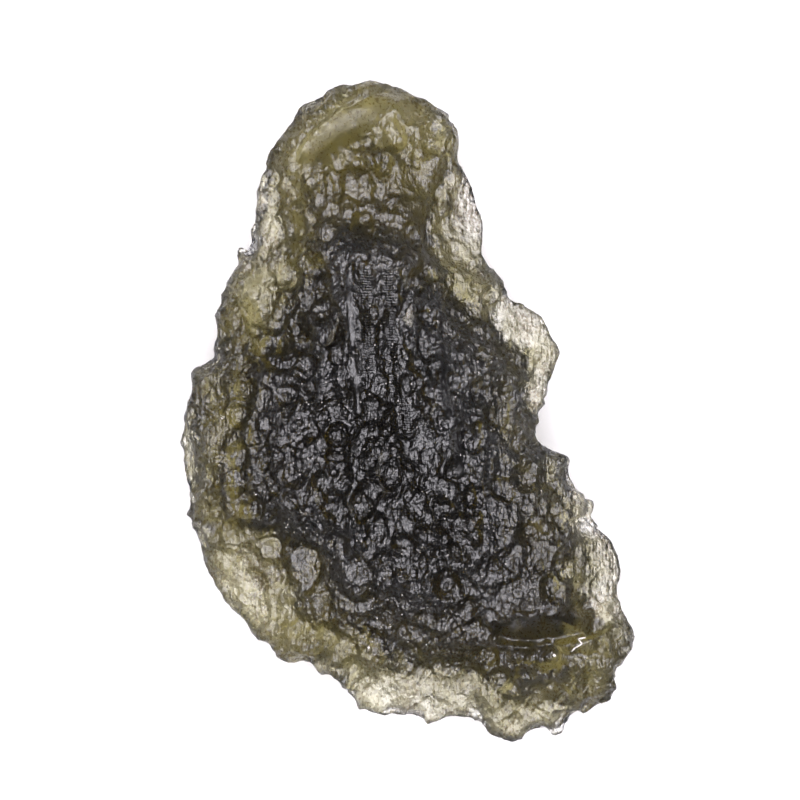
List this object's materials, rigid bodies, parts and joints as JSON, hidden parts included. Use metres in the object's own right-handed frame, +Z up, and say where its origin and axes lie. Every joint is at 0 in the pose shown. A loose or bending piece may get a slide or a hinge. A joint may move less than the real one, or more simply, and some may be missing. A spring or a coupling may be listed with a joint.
{
  "type": "moldavite stone",
  "caption": "Flat, irregular piece of rough olive-green natural glass with a deeply pitted, furrowed skin, thin pale edges and a thick dark middle. It lies on a small flat.",
  "frame": {"origin": "centre of the stone seen from above, at the level of the flat that it rests on", "axes": "+Y along the stone's length towards its narrow lobe, +X across it, +Z up out of the pitted face"},
  "size_m": [0.0226, 0.0332, 0.0094],
  "materials": {
    "moldavite": "natural etched gloss, olive green and see-through where it is thin"
  },
  "bodies": {
    "root": {"moldavite": "moldavite"}
  },
  "joints": []
}
